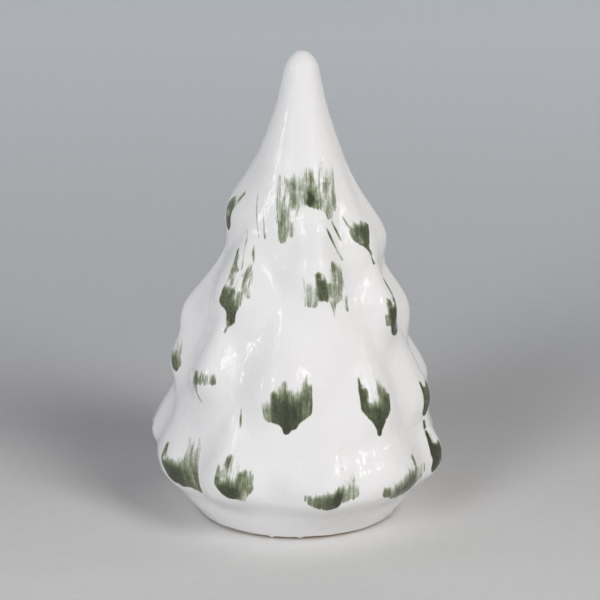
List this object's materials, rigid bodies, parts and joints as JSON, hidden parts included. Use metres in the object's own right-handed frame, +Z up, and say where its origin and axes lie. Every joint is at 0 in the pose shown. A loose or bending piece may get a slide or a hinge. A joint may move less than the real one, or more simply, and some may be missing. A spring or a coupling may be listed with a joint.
{
  "type": "fir tree figurine",
  "caption": "Small slip-cast earthenware fir tree: a blunt cone of overlapping branch tips on a short drum foot, glossy white glaze with green dry-brushed tips",
  "frame": {"origin": "on the floor at the middle of the foot, where the tree stands", "axes": "+Z up to the apex, -Y to the front of the picture, +X to the viewer's right"},
  "size_m": [0.0747, 0.0734, 0.12],
  "materials": {
    "fired_clay": "matt bisque",
    "white_glaze": "gloss"
  },
  "bodies": {
    "root": {"clay_body": "fired_clay", "glaze_coat": "white_glaze"}
  },
  "joints": []
}
